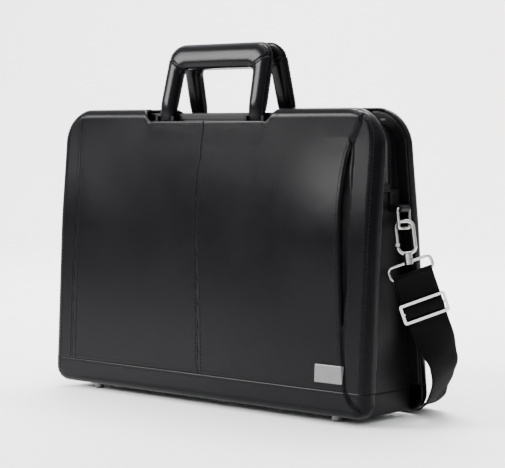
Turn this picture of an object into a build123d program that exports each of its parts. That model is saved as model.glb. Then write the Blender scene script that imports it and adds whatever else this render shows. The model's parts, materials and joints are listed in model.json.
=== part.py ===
"""Leather briefcase: structured body, zipped top, two hinged handles, webbing shoulder strap.

Row frame: +X along the width, -Y is the front, +Z up, z = 0 where the feet stand.
All lengths are in millimetres.
"""

import math
import os

from build123d import *

# Driving dimensions of the body
WIDTH = 420.0  # over the side rims
BASE_Z = 7.0  # underside of the body, above the feet
TOP_Z = 293.0  # top edge of the front and rear walls
MIDDLE_BASE_Y = -19.8  # halfway between the front and rear faces; the strap that lies behind balances it
MIDDLE_TOP_Y = -26.3
HALF_DEPTH_BASE = 51.5
HALF_DEPTH_TOP = 31.0
FEET_Y = -21.3
LEATHER = 2.5  # thickness of a lined leather wall
RIM_DEPTH = 14.0  # how far the front and rear walls wrap round onto the sides
GUSSET_INSET = 14.0  # how far the gusset sits inside the rims
TOP_CORNER_R = 36.0
BASE_CORNER_R = 16.0
EDGE_R = 9.0

# Panels and pockets
SEAM_X = 182.0  # seam between the front panel and the side bands
SLOT_X = (176.0, 184.0)  # mouth of the side-entry front pocket
SLOT_Z = (88.0, 262.0)
BAND_Z = 32.0  # top of the base bands
NOTCH_FLOOR_Z = 279.5
NOTCH_HALF_FLOOR = 78.0
NOTCH_HALF_TOP = 91.0
POCKET_GAP = 8.0  # between the front panel and the pocket back

# Zip
FLAP_HALF_X = 160.0
FLAP_REACH = 23.0

# Handles
HANDLE_PIVOT_Z = 284.0
HANDLE_PIVOT_IN = 24.6  # pivot to the body's middle
HANDLE_LEAN = 13.5  # degrees inwards at rest
HANDLE_HEIGHT = 75.0  # pivot to the top of the grip, along the handle
GRIP_HEIGHT = 24.0
GRIP_THICK = 15.0
LEG_WIDTH = 18.0
LEG_THICK = 12.0
TAB_THICK = 6.2
PIN_R = 1.5
PIN_CLEAR = 0.05

# Shoulder strap and its fittings, for the +X side
STRAP_W = 38.0
STRAP_T = 3.0
WIRE_R = 1.5
RING_AXIS = Vector(208.0, -12.6, 200.0)
RING_DROP = 18.5
RING_TOP_HALF = 9.5
RING_FOOT_HALF = 8.0
HOOK_AXIS = Vector(0.10, 0.08, -0.99).normalized()  # down along the hook
HOOK_W = 16.0  # centreline width and height of the hook's oval
HOOK_H = 30.0
HOOK_WIRE_R = 2.0
GATE_V = (-6.0, 6.0)  # the gate's span along the hook
LOOP_W = 42.0
LOOP_H = 12.0
SLIDER_W = 45.0
SLIDER_H = 20.0
SLIDER_AT = 31.0  # below the fold, along the strap
SLIDER_OFF = 3.5  # its middle plane to the strap's

os.makedirs("parts", exist_ok=True)


def save(builder, node):
    builder.part.label = node
    export_step(builder.part, f"parts/{node}.step")


def half_depth(z):
    share = (z - BASE_Z) / (TOP_Z - BASE_Z)
    return HALF_DEPTH_BASE + (HALF_DEPTH_TOP - HALF_DEPTH_BASE) * share


def middle_y(z):
    share = (z - BASE_Z) / (TOP_Z - BASE_Z)
    return MIDDLE_BASE_Y + (MIDDLE_TOP_Y - MIDDLE_BASE_Y) * share


def face_y(side, z, depth=0.0):
    """Y of the plane that lies depth inside the front (side -1) or rear (side 1) face."""
    return middle_y(z) + side * (half_depth(z) - depth)


def slab(side, xs, zs, depths):
    """A plate parallel to the front or rear face, between two depths inside it."""
    corners = [(face_y(side, z, d), z) for z, d in
               ((zs[0], depths[0]), (zs[1], depths[0]), (zs[1], depths[1]), (zs[0], depths[1]))]
    with BuildPart() as plate:
        with BuildSketch(Plane.YZ.offset(xs[0])):
            with BuildLine():
                Polyline(*corners, close=True)
            make_face()
        extrude(amount=xs[1] - xs[0])
    return plate.part


def between_rims(xs, zs, inset=RIM_DEPTH):
    """The space between the front and rear rims."""
    corners = [(face_y(s, z, inset), z) for s, z in ((-1, zs[0]), (-1, zs[1]), (1, zs[1]), (1, zs[0]))]
    with BuildPart() as space:
        with BuildSketch(Plane.YZ.offset(xs[0])):
            with BuildLine():
                Polyline(*corners, close=True)
            make_face()
        extrude(amount=xs[1] - xs[0])
    return space.part


def body_block(inset, face_inset=None):
    """The body's wedge with its faces moved in; face_inset is for the front and rear faces alone."""
    face_inset = inset if face_inset is None else face_inset
    half = WIDTH / 2 - inset
    zs = (BASE_Z + inset, TOP_Z - inset)
    corners = [(face_y(s, z, face_inset), z) for s, z in ((-1, zs[0]), (-1, zs[1]), (1, zs[1]), (1, zs[0]))]
    with BuildPart() as block:
        with BuildSketch(Plane.YZ.offset(-half)):
            with BuildLine():
                Polyline(*corners, close=True)
            make_face()
        extrude(amount=2 * half)
        across = block.edges().filter_by(Axis.Y)
        fillet(across.group_by(Axis.Z)[-1], radius=max(TOP_CORNER_R - inset, 2))
        fillet(block.edges().filter_by(Axis.Y).group_by(Axis.Z)[0], radius=max(BASE_CORNER_R - inset, 2))
        if face_inset == inset:
            for face in (block.faces().sort_by(Axis.Y)[0], block.faces().sort_by(Axis.Y)[-1]):
                fillet(face.edges(), radius=EDGE_R - inset)
    return block.part


def notch_cut():
    """What the handle notches take out of both walls."""
    with BuildPart() as cut:
        with BuildSketch(Plane.XZ.offset(-80)):
            with BuildLine():
                Polyline((-NOTCH_HALF_TOP, TOP_Z + 1), (-NOTCH_HALF_FLOOR, NOTCH_FLOOR_Z),
                         (NOTCH_HALF_FLOOR, NOTCH_FLOOR_Z), (NOTCH_HALF_TOP, TOP_Z + 1), close=True)
            make_face()
        extrude(amount=160)
    return cut.part


OUTER = body_block(0.0)
INNER = body_block(LEATHER)
NOTCH = notch_cut()
HALF = WIDTH / 2
ALL_X = (-HALF - 1, HALF + 1)
WRAP = (-1.0, RIM_DEPTH)
GUSSET_X = HALF - GUSSET_INSET

with BuildPart() as shell:
    add(OUTER)
    add(INNER, mode=Mode.SUBTRACT)
SHELL = shell.part


def wall_piece(node, region, *cuts):
    """A piece of the leather shell: what of it lies in region, less the cuts."""
    with BuildPart() as piece:
        add(SHELL)
        add(region, mode=Mode.INTERSECT)
        for cut in cuts:
            add(cut, mode=Mode.SUBTRACT)
    save(piece, node)


# Front: base band, two panel halves and the side bands
SLOT = slab(-1, SLOT_X, SLOT_Z, (-2.0, LEATHER + 2.0))
wall_piece("front_base_band", slab(-1, ALL_X, (0, BAND_Z), WRAP))
wall_piece("front_panel_left", slab(-1, (-SEAM_X, 0), (BAND_Z, TOP_Z + 1), WRAP), NOTCH)
wall_piece("front_panel_right", slab(-1, (0, SLOT_X[1]), (BAND_Z, TOP_Z + 1), WRAP), NOTCH, SLOT)
wall_piece("front_side_band_left", slab(-1, (-HALF - 1, -SEAM_X), (BAND_Z, TOP_Z + 1), WRAP))
wall_piece("front_side_band_right", slab(-1, (SLOT_X[1], HALF + 1), (BAND_Z, TOP_Z + 1), WRAP))

# Rear: base band, main wall and side bands
wall_piece("rear_base_band", slab(1, ALL_X, (0, BAND_Z), WRAP))
wall_piece("rear_wall", slab(1, (-SEAM_X, SEAM_X), (BAND_Z, TOP_Z + 1), WRAP), NOTCH)
wall_piece("rear_side_band_left", slab(1, (-HALF - 1, -SEAM_X), (BAND_Z, TOP_Z + 1), WRAP))
wall_piece("rear_side_band_right", slab(1, (SEAM_X, HALF + 1), (BAND_Z, TOP_Z + 1), WRAP))

# Rear pocket: an overlaid panel, open along its top
REAR_POCKET_GAP = 6.5
REAR_POCKET_X = 170.0
REAR_POCKET_Z = (36.0, 236.0)
with BuildPart() as rear_pocket_panel:
    add(slab(1, (-REAR_POCKET_X, REAR_POCKET_X), REAR_POCKET_Z, (-REAR_POCKET_GAP - 2.0, -REAR_POCKET_GAP)))
    add(slab(1, (-REAR_POCKET_X, -REAR_POCKET_X + 4), REAR_POCKET_Z, (-REAR_POCKET_GAP, 0)))
    add(slab(1, (REAR_POCKET_X - 4, REAR_POCKET_X), REAR_POCKET_Z, (-REAR_POCKET_GAP, 0)))
    add(slab(1, (-REAR_POCKET_X, REAR_POCKET_X), (REAR_POCKET_Z[0], REAR_POCKET_Z[0] + 4),
             (-REAR_POCKET_GAP, 0)))
save(rear_pocket_panel, "rear_pocket_panel")

# Turned-in seam flanges that join the walls to the gussets, and the bands behind the notches
FLANGE = (RIM_DEPTH - LEATHER, RIM_DEPTH)
BAND_HALF_X = 170.0
with BuildPart() as flange_ring:
    add(INNER)
    add(body_block(GUSSET_INSET + LEATHER, 0), mode=Mode.SUBTRACT)
for side, name in ((-1, "front"), (1, "rear")):
    for hand, end in ((-1, "left"), (1, "right")):
        xs = sorted((hand * BAND_HALF_X, hand * (HALF + 1)))
        with BuildPart() as flange:
            add(flange_ring.part)
            add(slab(side, xs, (BAND_Z, TOP_Z + 1), FLANGE), mode=Mode.INTERSECT)
        save(flange, f"{name}_seam_flange_{end}")
    with BuildPart() as top_band:
        add(slab(side, (-BAND_HALF_X, BAND_HALF_X), (TOP_Z - 33, TOP_Z - LEATHER - 1.5), FLANGE))
    save(top_band, f"{name}_notch_band")

# Gussets: side walls that curve over the top corners
with BuildPart() as gusset_ring:
    add(body_block(GUSSET_INSET, 0))
    add(body_block(GUSSET_INSET + LEATHER, 0), mode=Mode.SUBTRACT)
for hand, end in ((-1, "left"), (1, "right")):
    xs = sorted((hand * (FLAP_HALF_X + 1), hand * HALF))
    with BuildPart() as gusset:
        add(gusset_ring.part)
        add(between_rims(xs, (BAND_Z - 4, TOP_Z)), mode=Mode.INTERSECT)
    save(gusset, f"gusset_{end}")

# Bottom: leather, board, and the feet with their washers
with BuildPart() as bottom_panel:
    add(between_rims((-GUSSET_X, GUSSET_X), (BASE_Z, BASE_Z + LEATHER)))
    for hand in (-1, 1):
        xs = sorted((hand * GUSSET_X, hand * (GUSSET_X - LEATHER)))
        add(between_rims(xs, (BASE_Z + LEATHER, BAND_Z - 4)))
save(bottom_panel, "bottom_panel")

BOARD_Z = (BASE_Z + LEATHER, BASE_Z + LEATHER + 3)
with BuildPart() as base_board:
    with BuildSketch(Plane.XY.offset(BOARD_Z[0])):
        with Locations((0, MIDDLE_BASE_Y)):
            RectangleRounded(384, 78, 5)
    extrude(amount=BOARD_Z[1] - BOARD_Z[0])
save(base_board, "base_board")

FOOT_AT = [(x, FEET_Y + y) for x in (-161, 161) for y in (-30, 30)]
FOOT_R = 5.0
with BuildPart() as feet:
    with BuildSketch(Plane.XY.offset(1.5)):
        with Locations(*FOOT_AT):
            Circle(FOOT_R)
    extrude(amount=BASE_Z - 1.5)
    with BuildSketch(Plane.XY.offset(1.5)):
        with Locations(*FOOT_AT):
            Circle(FOOT_R)
    extrude(amount=-1.5, taper=40)
save(feet, "feet")

with BuildPart() as foot_washers:
    with BuildSketch(Plane.XY.offset(BOARD_Z[1])):
        with Locations(*FOOT_AT):
            Circle(6)
    extrude(amount=1)
    fillet(foot_washers.edges().group_by(Axis.Z)[-1], radius=0.6)
save(foot_washers, "foot_washers")

# Inside: pocket back, lining, padded divider with its strap
POCKET_BACK = (LEATHER + POCKET_GAP - 0.5, LEATHER + POCKET_GAP + 0.9)
LINING_TOP_Z = 258.0
INSIDE_X = GUSSET_X - LEATHER - 0.5
FRONT_INSIDE_X = HALF - LEATHER - 4
with BuildPart() as pocket_back:
    add(slab(-1, (-FRONT_INSIDE_X, FRONT_INSIDE_X), (BAND_Z + 2, LINING_TOP_Z), POCKET_BACK))
save(pocket_back, "front_pocket_back")

with BuildPart() as rear_lining:
    add(slab(1, (-INSIDE_X, INSIDE_X), (BOARD_Z[1] + 2, LINING_TOP_Z), (RIM_DEPTH + 1.0, RIM_DEPTH + 2.0)))
save(rear_lining, "rear_lining")

DIVIDER_DEPTH = (RIM_DEPTH + 20.0, RIM_DEPTH + 25.0)
with BuildPart() as laptop_divider:
    add(slab(1, (-INSIDE_X + 8, INSIDE_X - 8), (BOARD_Z[1], 215), DIVIDER_DEPTH))
    top_rim = laptop_divider.edges().filter_by(Axis.X).group_by(Axis.Z)[-1]
    fillet(top_rim, radius=1.5)
save(laptop_divider, "laptop_divider")

with BuildPart() as laptop_strap:
    add(slab(1, (-12, 12), (180, 221), (DIVIDER_DEPTH[0] - 1.5, DIVIDER_DEPTH[0])))
    add(slab(1, (-12, 12), (219.5, 221), (RIM_DEPTH + 2.0, DIVIDER_DEPTH[0])))
save(laptop_strap, "laptop_strap")

# Blank metal plate on the front panel, with the bent prongs that hold it
PLATE_X = (151.0, SLOT_X[1])
PLATE_Z = (38.5, 55.5)
PLATE_T = 1.2
with BuildPart() as name_plate:
    add(slab(-1, PLATE_X, PLATE_Z, (-PLATE_T, 0)))
    corners = name_plate.edges().filter_by(Axis.Y, tolerance=8)
    fillet(corners, radius=1.0)
save(name_plate, "name_plate")

with BuildPart() as plate_prongs:
    for x in (158.0, 177.0):
        add(slab(-1, (x - 2, x + 2), (45.5, 48.5), (LEATHER, LEATHER + 0.6)))
save(plate_prongs, "plate_prongs")

# Zip: two hinged strips with their tapes and teeth, a slider and its pull
DECK_Z = TOP_Z - GUSSET_INSET - LEATHER / 2  # mid-height of the zip strips
ZIP_Y = middle_y(DECK_Z)
FLAP_PIVOT_IN = half_depth(DECK_Z) - RIM_DEPTH - LEATHER / 2 - 0.35
for side, name in ((-1, "front"), (1, "rear")):
    pivot_y = ZIP_Y + side * FLAP_PIVOT_IN
    flap_end = ZIP_Y + side * 5.5
    with BuildPart() as zip_strip:
        with BuildSketch(Plane.YZ.offset(-FLAP_HALF_X)):
            with Locations((pivot_y, DECK_Z)):
                Circle(LEATHER / 2)
            with Locations(((pivot_y + flap_end) / 2, DECK_Z)):
                Rectangle(abs(pivot_y - flap_end), LEATHER)
        extrude(amount=2 * FLAP_HALF_X)
    save(zip_strip, f"{name}_zip_strip")
    with BuildPart() as tape:
        with BuildSketch(Plane.XY.offset(DECK_Z - LEATHER / 2 - 0.8)):
            with Locations((0, ZIP_Y + side * 6.7)):
                Rectangle(2 * FLAP_HALF_X, 9.0)
        extrude(amount=0.8)
    save(tape, f"{name}_zip_tape")
    with BuildPart() as teeth:
        with BuildSketch(Plane.XY.offset(DECK_Z - LEATHER / 2 - 1.6)):
            with Locations((0, ZIP_Y + side * 1.175)):
                Rectangle(2 * FLAP_HALF_X, 1.95)
        extrude(amount=2.4)
    save(teeth, f"{name}_zip_teeth")

SLIDER_X = 172.0
DECK_TOP = DECK_Z + LEATHER / 2
with BuildPart() as zip_slider:
    with BuildSketch(Plane.XY.offset(DECK_TOP + 0.3)):
        with Locations((SLIDER_X, ZIP_Y)):
            RectangleRounded(14, 10, 3)
    extrude(amount=1.6)
    with BuildSketch(Plane.YZ.offset(SLIDER_X - 4)):
        with Locations((ZIP_Y, DECK_TOP + 1.9 + 1.6)):
            RectangleRounded(3.0, 3.4, 1.2)
    extrude(amount=8)
    with BuildSketch(Plane.XZ.offset(-ZIP_Y)):
        with Locations((SLIDER_X, DECK_TOP + 3.4)):
            Circle(0.95)
    extrude(amount=3, both=True, mode=Mode.SUBTRACT)
save(zip_slider, "zip_slider")

PULL_PIVOT = (SLIDER_X, ZIP_Y, DECK_TOP + 3.4)
with BuildPart() as zip_pull:
    with BuildSketch(Plane.XZ.offset(-ZIP_Y)):
        with Locations((SLIDER_X, PULL_PIVOT[2])):
            Circle(0.85)
    extrude(amount=4.2, both=True)
    for hand in (-1, 1):
        with BuildSketch(Plane.XY.offset(PULL_PIVOT[2] - 0.85)):
            with Locations((SLIDER_X + 6, ZIP_Y + hand * 3.2)):
                Rectangle(13.6, 1.6)
        extrude(amount=1.7)
    with BuildSketch(Plane.XY.offset(PULL_PIVOT[2] - 0.85)):
        with Locations((SLIDER_X + 16.5, ZIP_Y)):
            RectangleRounded(14, 9, 3)
    extrude(amount=1.7)
save(zip_pull, "zip_pull")

# Handles: leather cover over a stiff core, on pins in four brackets
LEG_FOOT_X = 60.0  # leg centre at the pivot
LEG_TOP_X = 57.5


def handle_plane(side):
    """Local x along +X, local y up along the leaning handle."""
    lean = math.radians(HANDLE_LEAN)
    origin = Vector(0, MIDDLE_TOP_Y + side * HANDLE_PIVOT_IN, HANDLE_PIVOT_Z)
    up = Vector(0, -side * math.sin(lean), math.cos(lean))
    return Plane(origin=origin, x_dir=Vector(1, 0, 0), z_dir=Vector(1, 0, 0).cross(up))


def bow_face(shrink, foot):
    """The handle's outline: two legs and the grip, in its own plane."""
    half = LEG_WIDTH / 2 - shrink
    grip = (HANDLE_HEIGHT - GRIP_HEIGHT + shrink, HANDLE_HEIGHT - shrink)
    with BuildSketch() as bow:
        with BuildLine():
            FilletPolyline((-LEG_FOOT_X - half, foot), (-LEG_TOP_X - half, grip[1]), (LEG_TOP_X + half, grip[1]),
                           (LEG_FOOT_X + half, foot), radius=14 - shrink)
            Line((LEG_FOOT_X + half, foot), (LEG_FOOT_X - half, foot))
            FilletPolyline((LEG_FOOT_X - half, foot), (LEG_TOP_X - half, grip[0]), (-LEG_TOP_X + half, grip[0]),
                           (-LEG_FOOT_X + half, foot), radius=8 + shrink)
            Line((-LEG_FOOT_X + half, foot), (-LEG_FOOT_X - half, foot))
        make_face()
    return bow.sketch


TAB_TOP = 9.0
CORE_SHRINK = 4.5
CORE_HALF = 3.0
for side, name in ((-1, "front"), (1, "rear")):
    plane = handle_plane(side)
    pivot = plane.origin
    with BuildPart() as core:
        with BuildSketch(plane):
            add(bow_face(CORE_SHRINK, TAB_TOP + 3))
        extrude(amount=CORE_HALF, both=True)
    with BuildPart() as grip:
        with BuildSketch(plane):
            add(bow_face(0, TAB_TOP))
        extrude(amount=LEG_THICK / 2, both=True)
        fillet(grip.edges().filter_by(lambda e: abs(plane.to_local_coords(e.center()).Z) > 1), radius=4)
        with BuildSketch(plane):
            with Locations((0, HANDLE_HEIGHT - GRIP_HEIGHT / 2)):
                Rectangle(72, GRIP_HEIGHT)
        extrude(amount=GRIP_THICK / 2, both=True)
        bar = [e for e in grip.edges().filter_by(Axis.X)
               if abs(abs(plane.to_local_coords(e.center()).Z) - GRIP_THICK / 2) < 0.01]
        fillet(bar, radius=5)
        for x in (-LEG_FOOT_X, LEG_FOOT_X):
            with BuildSketch(Plane.YZ.offset(x - LEG_WIDTH / 2)):
                with Locations((pivot.Y, pivot.Z)):
                    Circle(TAB_THICK / 2)
            extrude(amount=LEG_WIDTH)
            foot_plane = Plane(origin=plane.from_local_coords(Vector(x, 0, 0)), x_dir=plane.x_dir, z_dir=plane.y_dir)
            with BuildSketch(foot_plane):
                Rectangle(LEG_WIDTH, TAB_THICK)
            extrude(amount=TAB_TOP)
        with BuildSketch(Plane.YZ.offset(-LEG_FOOT_X - LEG_WIDTH)):
            with Locations((pivot.Y, pivot.Z)):
                Circle(PIN_R + PIN_CLEAR)
        extrude(amount=2 * (LEG_FOOT_X + LEG_WIDTH), mode=Mode.SUBTRACT)
        add(core.part, mode=Mode.SUBTRACT)
    save(grip, f"{name}_handle")
    save(core, f"{name}_handle_core")

    with BuildPart() as brackets:
        for x in (-LEG_FOOT_X, LEG_FOOT_X):
            for hand in (-1, 1):
                inner = x + hand * (LEG_WIDTH / 2 + 0.4)
                xs = sorted((inner, inner + hand * 3.0))
                add(slab(side, xs, (264, 286.5), (LEATHER + 0.3, RIM_DEPTH - LEATHER)))
        with BuildSketch(Plane.YZ.offset(-LEG_FOOT_X - LEG_WIDTH)):
            with Locations((pivot.Y, pivot.Z)):
                Circle(PIN_R)
        extrude(amount=2 * (LEG_FOOT_X + LEG_WIDTH), mode=Mode.SUBTRACT)
    save(brackets, f"{name}_handle_brackets")

with BuildPart() as handle_pins:
    for side in (-1, 1):
        pivot = handle_plane(side).origin
        for x in (-LEG_FOOT_X, LEG_FOOT_X):
            with BuildSketch(Plane.YZ.offset(x - LEG_WIDTH / 2 - 3.5)):
                with Locations((pivot.Y, pivot.Z)):
                    Circle(PIN_R)
            extrude(amount=LEG_WIDTH + 7)
save(handle_pins, "handle_pins")

# Strap fittings, made on the +X side; the -X side is their mirror
MIRROR = Plane.YZ


def save_pair(builder, node):
    """Write the +X piece and its -X mirror image."""
    save(builder, f"{node}_right")
    with BuildPart() as other:
        add(mirror(builder.part, about=MIRROR, mode=Mode.PRIVATE))
    save(other, f"{node}_left")


with BuildPart() as ring_tab:
    with BuildSketch(Plane.XZ.offset(-RING_AXIS.Y)):
        with Locations(((GUSSET_X + RING_AXIS.X) / 2, RING_AXIS.Z)):
            Rectangle(RING_AXIS.X - GUSSET_X, 7.2)
        with Locations((GUSSET_X + 1.3, RING_AXIS.Z + 7)):
            Rectangle(2.6, 21.2)
        with Locations((RING_AXIS.X, RING_AXIS.Z)):
            Circle(3.6)
        with Locations((RING_AXIS.X, RING_AXIS.Z)):
            Circle(WIRE_R + PIN_CLEAR, mode=Mode.SUBTRACT)
    extrude(amount=6.8, both=True)
save_pair(ring_tab, "ring_tab")

with BuildPart() as tab_rivets:
    for hand in (-1, 1):
        with BuildSketch(Plane(origin=(hand * (GUSSET_X + 2.6), 0, 0), x_dir=(0, 1, 0), z_dir=(hand, 0, 0))):
            with Locations((RING_AXIS.Y, hand * (RING_AXIS.Z + 11))):
                Circle(3.2)
        extrude(amount=1.4, taper=30)
save(tab_rivets, "tab_rivets")

RING_TILT = math.radians(4.0)
RING_DOWN = Vector(math.sin(RING_TILT), 0, -math.cos(RING_TILT))
ring_plane = Plane(origin=RING_AXIS, x_dir=Vector(0, 1, 0), z_dir=Vector(0, 1, 0).cross(RING_DOWN))
with BuildPart() as d_ring:
    with BuildLine(ring_plane):
        ring_path = FilletPolyline((RING_TOP_HALF, 0), (RING_FOOT_HALF, RING_DROP), (-RING_FOOT_HALF, RING_DROP),
                                   (-RING_TOP_HALF, 0), radius=2.4, close=True)
    with BuildSketch(Plane(origin=ring_path @ 0, z_dir=ring_path % 0)):
        Circle(WIRE_R)
    sweep()
save_pair(d_ring, "d_ring")

# Snap hook: an oval with a sprung gate, turning on the strap loop
STRAP_WIDE = Vector(0.70, 0.63, 0.34).normalized()
HOOK_PLAY = 3.0  # slack between ring and hook, so that both can swing
ring_foot = RING_AXIS + RING_DOWN * RING_DROP
hook_top = ring_foot - HOOK_AXIS * (WIRE_R + HOOK_WIRE_R + HOOK_PLAY)
hook_centre = hook_top + HOOK_AXIS * (HOOK_H / 2)
level = STRAP_WIDE - HOOK_AXIS * STRAP_WIDE.dot(HOOK_AXIS)
HOOK_WIDE = level.normalized()
hook_plane = Plane(origin=hook_centre, x_dir=HOOK_WIDE, z_dir=HOOK_WIDE.cross(HOOK_AXIS * -1))
gate_x = -HOOK_W / 2

with BuildPart() as hook:
    with BuildLine(hook_plane):
        hook_path = FilletPolyline((gate_x, GATE_V[1] + 0.4), (gate_x, HOOK_H / 2), (-gate_x, HOOK_H / 2),
                                   (-gate_x, -HOOK_H / 2), (gate_x, -HOOK_H / 2), (gate_x, GATE_V[0] - 2.6),
                                   radius=6.0)
    with BuildSketch(Plane(origin=hook_path @ 0, z_dir=hook_path % 0)):
        Circle(HOOK_WIRE_R)
    sweep()
    stem = Plane(origin=hook_plane.from_local_coords(Vector(0, -HOOK_H / 2, 0)), z_dir=HOOK_AXIS)
    with BuildSketch(stem):
        Circle(4.2)
    extrude(amount=5)
    with BuildSketch(stem):
        Circle(1.9)
    extrude(amount=9)
save_pair(hook, "hook")

GATE_PIVOT = Vector(gate_x, GATE_V[0], 0)
with BuildPart() as gate:
    with BuildSketch(Plane(origin=hook_plane.from_local_coords(GATE_PIVOT), z_dir=hook_plane.y_dir)):
        Circle(HOOK_WIRE_R - 0.2)
    extrude(amount=GATE_V[1] - GATE_V[0])
    with BuildSketch(Plane(origin=hook_plane.from_local_coords(GATE_PIVOT), x_dir=hook_plane.x_dir,
                           z_dir=hook_plane.z_dir)):
        Circle(HOOK_WIRE_R)
    extrude(amount=HOOK_WIRE_R, both=True)
save_pair(gate, "hook_gate")

# Strap loop: a boss that the hook turns in, and a wire frame that the strap hangs on
boss_top = hook_centre + HOOK_AXIS * (HOOK_H / 2 + 5.4)
loop_top = boss_top + HOOK_AXIS * 3.0
STRAP_DOWN_TARGET = Vector(225.0, 16.7, 72.0)
lower_bar = loop_top + HOOK_AXIS * LOOP_H
down = STRAP_DOWN_TARGET - lower_bar
STRAP_DOWN = (down - STRAP_WIDE * down.dot(STRAP_WIDE)).normalized()
loop_down = (lower_bar - loop_top)
LOOP_DOWN = (loop_down - STRAP_WIDE * loop_down.dot(STRAP_WIDE)).normalized()
loop_plane = Plane(origin=loop_top, x_dir=STRAP_WIDE, z_dir=STRAP_WIDE.cross(LOOP_DOWN))
lower_bar = loop_top + LOOP_DOWN * LOOP_H
with BuildPart() as strap_loop:
    with BuildLine(loop_plane):
        loop_path = FilletPolyline((LOOP_W / 2, 0), (LOOP_W / 2, LOOP_H), (-LOOP_W / 2, LOOP_H),
                                   (-LOOP_W / 2, 0), radius=4, close=True)
    with BuildSketch(Plane(origin=loop_path @ 0, z_dir=loop_path % 0)):
        Circle(WIRE_R)
    sweep()
    with BuildSketch(Plane(origin=boss_top, z_dir=HOOK_AXIS)):
        Circle(4.2)
    extrude(amount=5)
    with BuildSketch(Plane(origin=boss_top + HOOK_AXIS * -1, z_dir=HOOK_AXIS)):
        Circle(2.0)
    extrude(amount=7, mode=Mode.SUBTRACT)
save_pair(strap_loop, "strap_loop")

# Webbing: the hanging drop, the run on the floor behind the body, and the fold on the loop
DROP_STRAIGHT = 56.0  # straight length below the fold, where the strap slider travels
DROP_LOW = (Vector(229, 24.7, 55), Vector(0.16, 0.95, 0.20))
RUN_HIGH = (Vector(228.6, 25.1, 53.4), Vector(0.14, 0.95, 0.19))
STRAP_BEND = (  # centre and width direction: down round the rear corner, then flat behind the body
    (Vector(223, 32.7, 36), Vector(-0.15, 0.98, 0.08)),
    (Vector(211, 40.7, 19), Vector(-0.36, 0.93, 0)),
    (Vector(198, 48.7, 10), Vector(-0.3, 0.95, 0)),
    (Vector(182, 51.7, 4.6), Vector(-0.15, 0.99, 0)),
    (Vector(150, 52.2, 2.2), Vector(0, 1, 0)),
    (Vector(0, 52.2, 2.2), Vector(0, 1, 0)),
)


def strap_section(centre, wide, along):
    """A strap's cross-section at centre, its width along wide."""
    wide = wide.normalized()
    along = (along - wide * along.dot(wide)).normalized()
    with BuildSketch(Plane(origin=centre, x_dir=wide, z_dir=along)) as section:
        Rectangle(STRAP_W, STRAP_T)
    return section.sketch


def strap_loft(stations):
    """Straight-sided webbing through the stations, each span its own block."""
    centres = [centre for centre, _ in stations]
    sections = []
    for i, (centre, wide) in enumerate(stations):
        along = centres[min(i + 1, len(centres) - 1)] - centres[max(i - 1, 0)]
        sections.append(strap_section(centre, wide, along))
    with BuildPart() as band:
        for section in sections:
            add(section)
        loft(ruled=True)
    return band.part


drop_top = lower_bar + STRAP_DOWN * 2.6
drop_mid = drop_top + STRAP_DOWN * DROP_STRAIGHT
with BuildPart() as strap_drop:
    add(strap_loft([(drop_top, STRAP_WIDE), (drop_mid, STRAP_WIDE)]))
    add(strap_loft([(drop_mid, STRAP_WIDE), DROP_LOW]))
    with BuildSketch(Plane(origin=lower_bar - STRAP_WIDE * (STRAP_W / 2 - 2.2), z_dir=STRAP_WIDE)):
        Circle(3.6)
    extrude(amount=STRAP_W - 4.4)
    with BuildSketch(Plane(origin=lower_bar - STRAP_WIDE * (STRAP_W / 2), z_dir=STRAP_WIDE)):
        Circle(WIRE_R + PIN_CLEAR)
    extrude(amount=STRAP_W, mode=Mode.SUBTRACT)
save_pair(strap_drop, "strap_drop")

with BuildPart() as half_run:
    add(strap_loft([RUN_HIGH, *STRAP_BEND]))
with BuildPart() as strap_run:
    add(half_run.part)
    add(mirror(half_run.part, about=MIRROR, mode=Mode.PRIVATE))
save(strap_run, "strap_run")

# Strap slider: a three-bar frame over the drop, with the webbing wrapped on its middle bar
strap_normal = STRAP_WIDE.cross(STRAP_DOWN).normalized()
if strap_normal.Y > 0:
    strap_normal = strap_normal * -1
slider_centre = drop_top + STRAP_DOWN * SLIDER_AT + strap_normal * SLIDER_OFF
slider_plane = Plane(origin=slider_centre, x_dir=STRAP_WIDE, z_dir=strap_normal)
with BuildPart() as strap_slider:
    with BuildSketch(slider_plane):
        RectangleRounded(SLIDER_W, SLIDER_H, 2.5)
        RectangleRounded(SLIDER_W - 5.2, SLIDER_H - 5.2, 1.2, mode=Mode.SUBTRACT)
    extrude(amount=1.3, both=True)
    with BuildSketch(Plane(origin=slider_centre - STRAP_WIDE * (SLIDER_W / 2 - 2), z_dir=STRAP_WIDE)):
        Circle(1.2)
    extrude(amount=SLIDER_W - 4)
save(strap_slider, "strap_slider")

with BuildPart() as strap_wrap:
    with BuildSketch(Plane(origin=slider_centre - STRAP_WIDE * (STRAP_W / 2 - 0.2), x_dir=strap_normal,
                           z_dir=STRAP_WIDE)):
        SlotOverall(11.5, 3.2, rotation=90)
        Circle(1.2, mode=Mode.SUBTRACT)
    extrude(amount=STRAP_W - 0.4)
save(strap_wrap, "strap_wrap")
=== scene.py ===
"""Leather briefcase: the looks of the CAD model, in its frame.

Lengths are worked out in millimetres and made in metres; the camera, lights and floor are in metres.
"""

import json
import math

import bmesh
import bpy
import numpy as np
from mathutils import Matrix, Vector
from mathutils.bvhtree import BVHTree


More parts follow.
